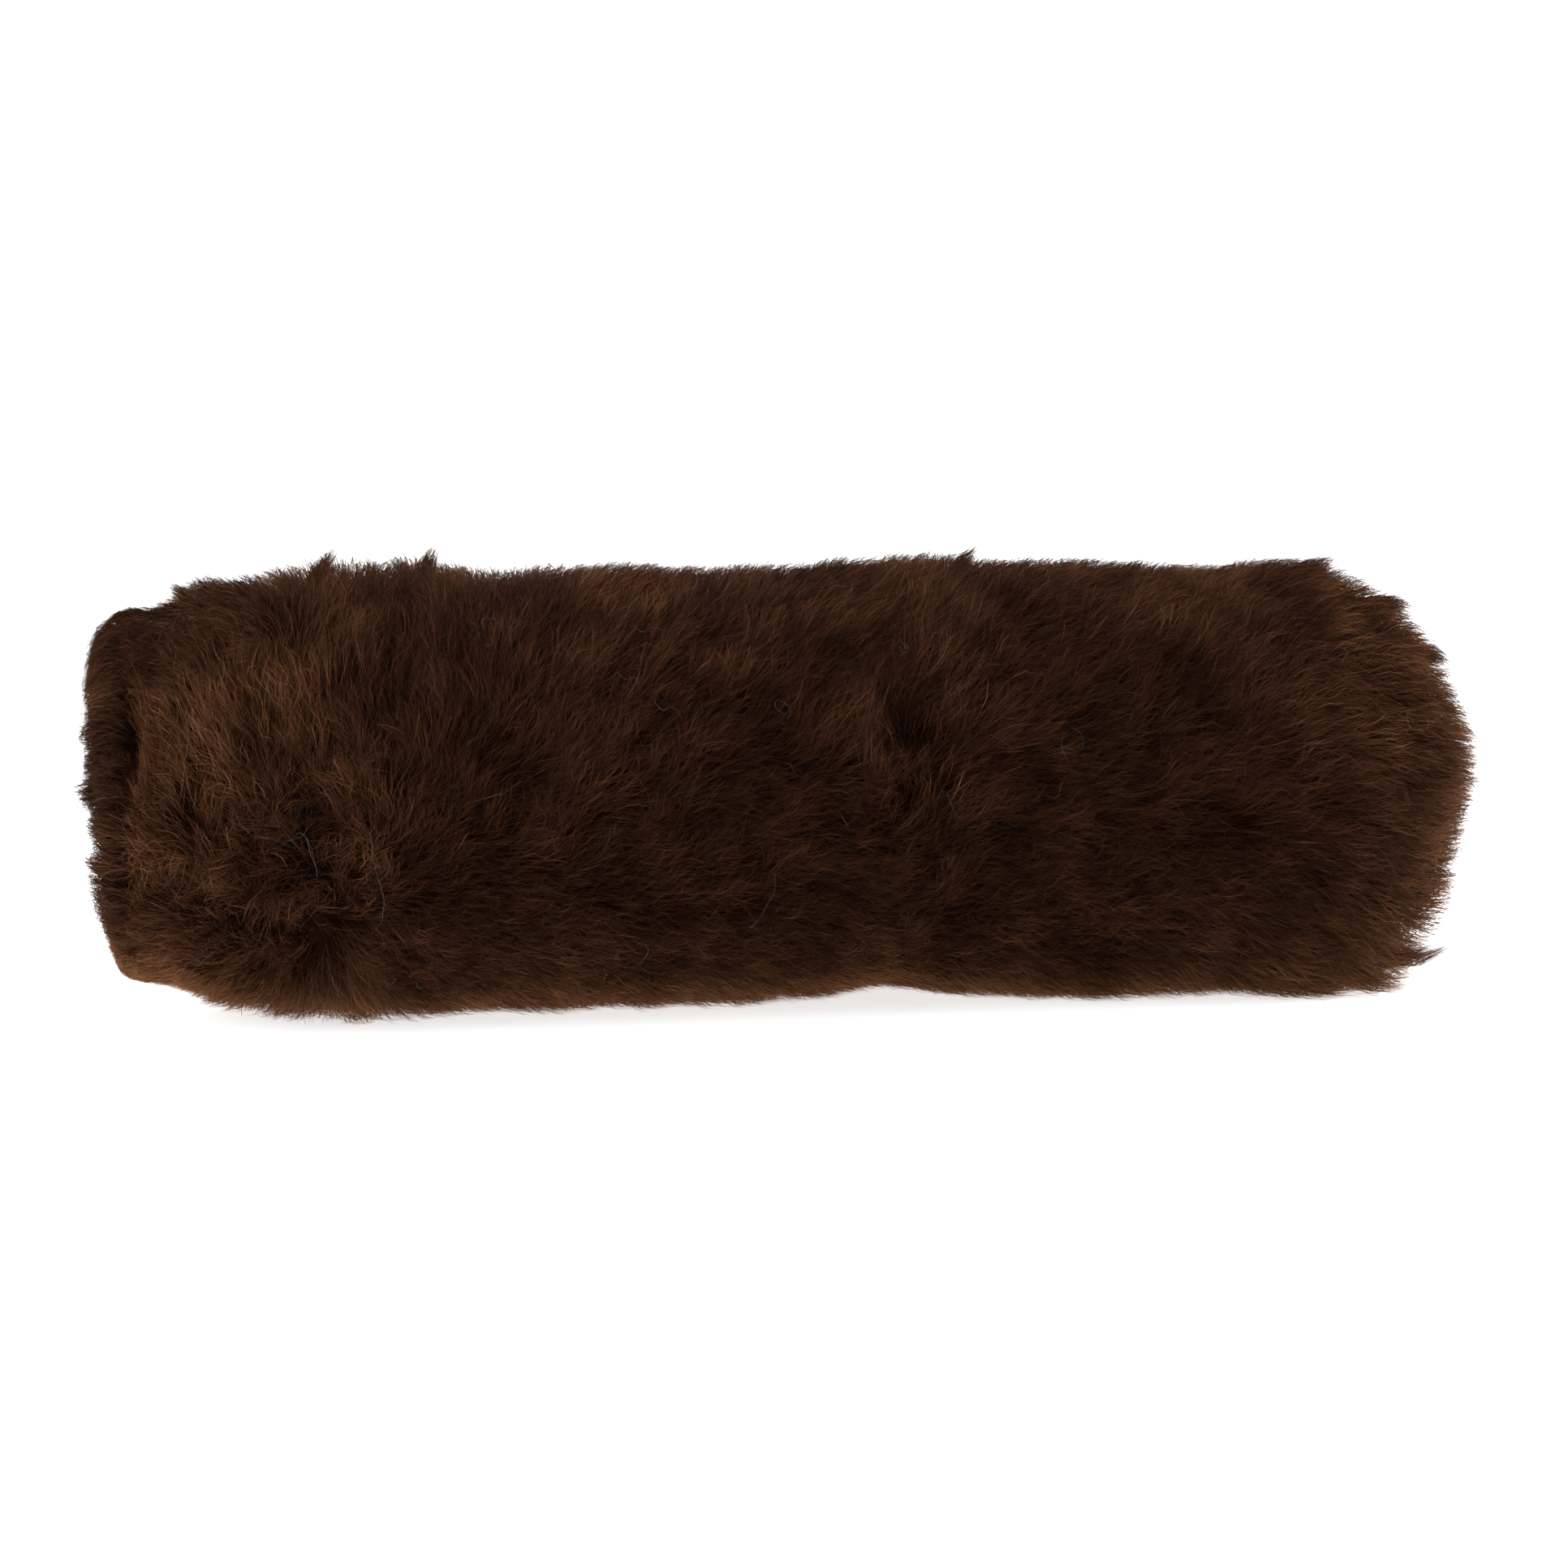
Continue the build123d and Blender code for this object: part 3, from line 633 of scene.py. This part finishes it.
def fur_material():
    """Brown pile: dark at the root, warmer and paler at the tip, and no two hairs alike. The paler tips
    are partly the hair's own colour and partly painted light, for the glow through the tips at the
    outline.
    """
    material, tree, shader = new_material("fur", 0.7, 0.03)
    coordinates = tree.nodes.new("ShaderNodeUVMap")
    coordinates.uv_map = "OFBake"
    split = tree.nodes.new("ShaderNodeSeparateXYZ")
    pale = tree.nodes.new("ShaderNodeValToRGB")
    depth = tree.nodes.new("ShaderNodeValToRGB")
    mix = tree.nodes.new("ShaderNodeMix")
    mix.data_type = "RGBA"
    mix.blend_type = "MULTIPLY"
    mix.inputs["Factor"].default_value = 1
    tree.links.new(coordinates.outputs["UV"], split.inputs["Vector"])
    tree.links.new(split.outputs["X"], pale.inputs["Fac"])
    tree.links.new(split.outputs["Y"], depth.inputs["Fac"])
    fill_ramp(pale, [
        (0.0, (0.013, 0.0050, 0.0026)),
        (0.35, (0.028, 0.0110, 0.0054)),
        (0.6, (0.054, 0.0218, 0.0100)),
        (0.85, (0.112, 0.0480, 0.0220)),
        (1.0, (0.190, 0.0860, 0.0420)),
    ])
    # root to tip: the hair's own darker root and paler tip, with the tips made paler still as painted
    # light for the glow through them
    fill_ramp(depth, [
        (0.0, (0.30, 0.29, 0.29)),
        (0.45, (0.60, 0.59, 0.58)),
        (0.8, (1.25, 1.22, 1.18)),
        (1.0, (2.60, 2.45, 2.20)),
    ])
    tree.links.new(pale.outputs["Color"], mix.inputs["A"])
    tree.links.new(depth.outputs["Color"], mix.inputs["B"])
    tree.links.new(mix.outputs["Result"], shader.inputs["Base Color"])
    return material


def mottled(name, dark, pale, size, roughness, specular=0.5, metallic=0.0, bump=0.0):
    """A surface with a soft mottle in its colour, and a fine grain if bump is given."""
    material, tree, shader = new_material(name, roughness, specular, metallic)
    place = tree.nodes.new("ShaderNodeTexCoord")
    noise = tree.nodes.new("ShaderNodeTexNoise")
    noise.inputs["Scale"].default_value = 1 / size
    noise.inputs["Detail"].default_value = 5
    ramp = tree.nodes.new("ShaderNodeValToRGB")
    fill_ramp(ramp, [(0.3, dark), (0.7, pale)])
    tree.links.new(place.outputs["Object"], noise.inputs["Vector"])
    tree.links.new(noise.outputs["Fac"], ramp.inputs["Fac"])
    tree.links.new(ramp.outputs["Color"], shader.inputs["Base Color"])
    if bump:
        grain = tree.nodes.new("ShaderNodeTexNoise")
        grain.inputs["Scale"].default_value = 1 / (size * 0.06)
        lift = tree.nodes.new("ShaderNodeBump")
        lift.inputs["Strength"].default_value = bump
        lift.inputs["Distance"].default_value = 0.0002
        tree.links.new(place.outputs["Object"], grain.inputs["Vector"])
        tree.links.new(grain.outputs["Fac"], lift.inputs["Height"])
        tree.links.new(lift.outputs["Normal"], shader.inputs["Normal"])
    return material


def undercoat(name, u_range, material, rows, *replaced):
    """The dense short wool under the long hairs: a bumpy shell that hides the backing."""
    around, depth, lumps, thin_edge = 240, 0.42, 0.4 * MM, 0.15
    lowest = 1.5 * MM
    u, v = np.meshgrid(
        np.linspace(*u_range, rows), np.linspace(0, ROUND, around, endpoint=False), indexing="ij",
    )
    base = COVER.at(u, v, np.zeros_like(u))
    height = pile_height(base, u, v) * depth + lumps * LUMP(base * 3)
    edge = smooth(0, 12 * MM, u)
    points = COVER.at(u, v, height * (thin_edge + (1 - thin_edge) * edge))
    points[..., 2] = np.maximum(points[..., 2], lowest)
    mesh = grid_mesh(name, points)
    return add_piece(name, mesh, material, "cover", "fur", *replaced)


add_camera()
add_stage()

FUR = fur_material()
# painted shade: the lower pile coloured darker than its hairs, for the shade deep between them
UNDERCOAT_PAINTED_SHADE = mottled("undercoat", (0.006, 0.0026, 0.0016), (0.012, 0.005, 0.003), 0.01, 0.9, 0.0)
undercoat("body_undercoat", (U_REAR, U_SEAM), UNDERCOAT_PAINTED_SHADE, 200, "body_fur")
undercoat("front_undercoat", (U_SEAM, COVER.length - 0.0002), UNDERCOAT_PAINTED_SHADE, 60, "front_fur")
undercoat("rear_undercoat", (0.0005, U_REAR), UNDERCOAT_PAINTED_SHADE, 20, "rear_fur")

# ---- the fabric that the pile grows from, sewn into one sleeve with its tapes ----
FABRIC = mottled(
    "backing_knit", (0.012, 0.010, 0.009), (0.024, 0.020, 0.017), 0.004, 0.95, 0.1, bump=0.4,
)


def add_backing():
    """The cover's fabric from the hem to the tip of the dome, as a closed shell 0.9 mm thick."""
    thick, tip_gap = 0.9 * MM, 0.3 * MM
    u = np.concatenate([np.linspace(0, U_SEAM, 60), np.linspace(U_SEAM, COVER.length - tip_gap, 50)[1:]])
    u, v = np.meshgrid(u, np.linspace(0, ROUND, 160, endpoint=False), indexing="ij")
    outside = COVER.at(u, v, np.zeros_like(u))
    inside = COVER.at(u, v, np.full_like(u, -thick))[::-1]
    mesh = grid_mesh("backing", np.concatenate([outside, inside]), closed_rows=True)
    piece = add_piece("backing", mesh, FABRIC, "cover", "fur")


add_backing()

# name, dark and pale colour, size of the mottle, roughness, specular, metallic, bump, nodes
INSIDES = [
    ("tape", (0.010, 0.009, 0.009), (0.020, 0.018, 0.017), 0.002, 0.85, 0.2, 0.0, 0.6,
     ["front_seam_tape", "rear_seam_tape", "length_seam_tape", "hem_casing"]),
    ("elastic", (0.012, 0.012, 0.012), (0.030, 0.029, 0.028), 0.001, 0.8, 0.2, 0.0, 0.8,
     ["elastic_band"]),
    ("basket_plastic", (0.009, 0.009, 0.010), (0.014, 0.014, 0.015), 0.02, 0.5, 0.3, 0.0, 0.10,
     ["cage_tube", "cage_nose", "nose_joint_ring"]),
    ("scrim", (0.020, 0.020, 0.021), (0.045, 0.044, 0.043), 0.0012, 0.85, 0.2, 0.0, 0.9,
     ["scrim_tube", "scrim_nose"]),
    ("hoop_plastic", (0.020, 0.020, 0.021), (0.030, 0.030, 0.031), 0.01, 0.5, 0.5, 0.0, 0.0,
     ["scrim_hoops"]),
    ("collar_plastic", (0.014, 0.014, 0.015), (0.020, 0.020, 0.021), 0.01, 0.36, 0.5, 0.0, 0.08,
     ["rear_collar"]),
    ("ring_aluminium", (0.060, 0.061, 0.064), (0.078, 0.079, 0.082), 0.008, 0.34, 0.5, 1.0, 0.05,
     ["lock_ring", "rear_frame_ring"]),
    ("gasket_rubber", (0.010, 0.010, 0.010), (0.016, 0.016, 0.016), 0.006, 0.75, 0.3, 0.0, 0.0,
     ["collar_gasket"]),
    ("screw_steel", (0.33, 0.33, 0.34), (0.42, 0.42, 0.43), 0.003, 0.30, 0.5, 1.0, 0.0,
     ["nose_joint_screws", "collar_screws", "stop_pin"]),
    ("spring_steel", (0.22, 0.22, 0.23), (0.30, 0.30, 0.31), 0.004, 0.35, 0.5, 1.0, 0.0,
     ["retaining_ring"]),
]
for *recipe, names in INSIDES:
    material = mottled(*recipe)
    for name in names:
        for place in nodes[name].material_slots:
            place.material = material

BODY_LOOK = {
    "tuft": 0.0032, "length": 0.0200, "lean": 0.95, "height": pile_height, "stray": 0.29, "part": 0.4,
    "gather": 0.32, "frizz": 0.0007, "width": 0.00021, "light": 0.50, "ragged": 0.12,
}
# the dome's pile is painted paler: painted light for the rim light on the front end
FRONT_LOOK = dict(BODY_LOOK, length=0.019, lean=0.75, light=0.68, stray=0.32, height=front_height)
# the rear pile is painted darker: painted shade on the rear end, which faces away from the light
REAR_LOOK = dict(
    BODY_LOOK, length=0.012, lean=0.6, light=0.42, stray=0.6, ragged=0.45, frizz=0.0011,
    height=rear_height,
)
HAIRS = 26500           # in one piece
BANDS = 6
for band in range(BANDS):
    u_from = BODY_FROM + (U_SEAM - BODY_FROM) * band / BANDS
    u_to = BODY_FROM + (U_SEAM - BODY_FROM) * (band + 1) / BANDS
    for half, v_from in (("front", -ROUND / 4), ("back", ROUND / 4)):
        name, seed = f"fur_body_{band + 1}_{half}", 100 + 2 * band + (half == "back")
        grow(name, HAIRS, (u_from, u_to), (v_from, v_from + ROUND / 2), seed, BODY_LOOK)
grow("fur_front", HAIRS, (U_SEAM, COVER.length), (-ROUND / 2, ROUND / 2), 201, FRONT_LOOK)
grow("fur_rear", int(HAIRS * 0.8), (0, BODY_FROM), (-ROUND / 2, ROUND / 2), 202, REAR_LOOK)
grow_locks("fur_locks", BODY_LOOK)
add_lint(mottled("lint", (0.09, 0.085, 0.08), (0.22, 0.21, 0.20), 0.004, 0.8, 0.1))
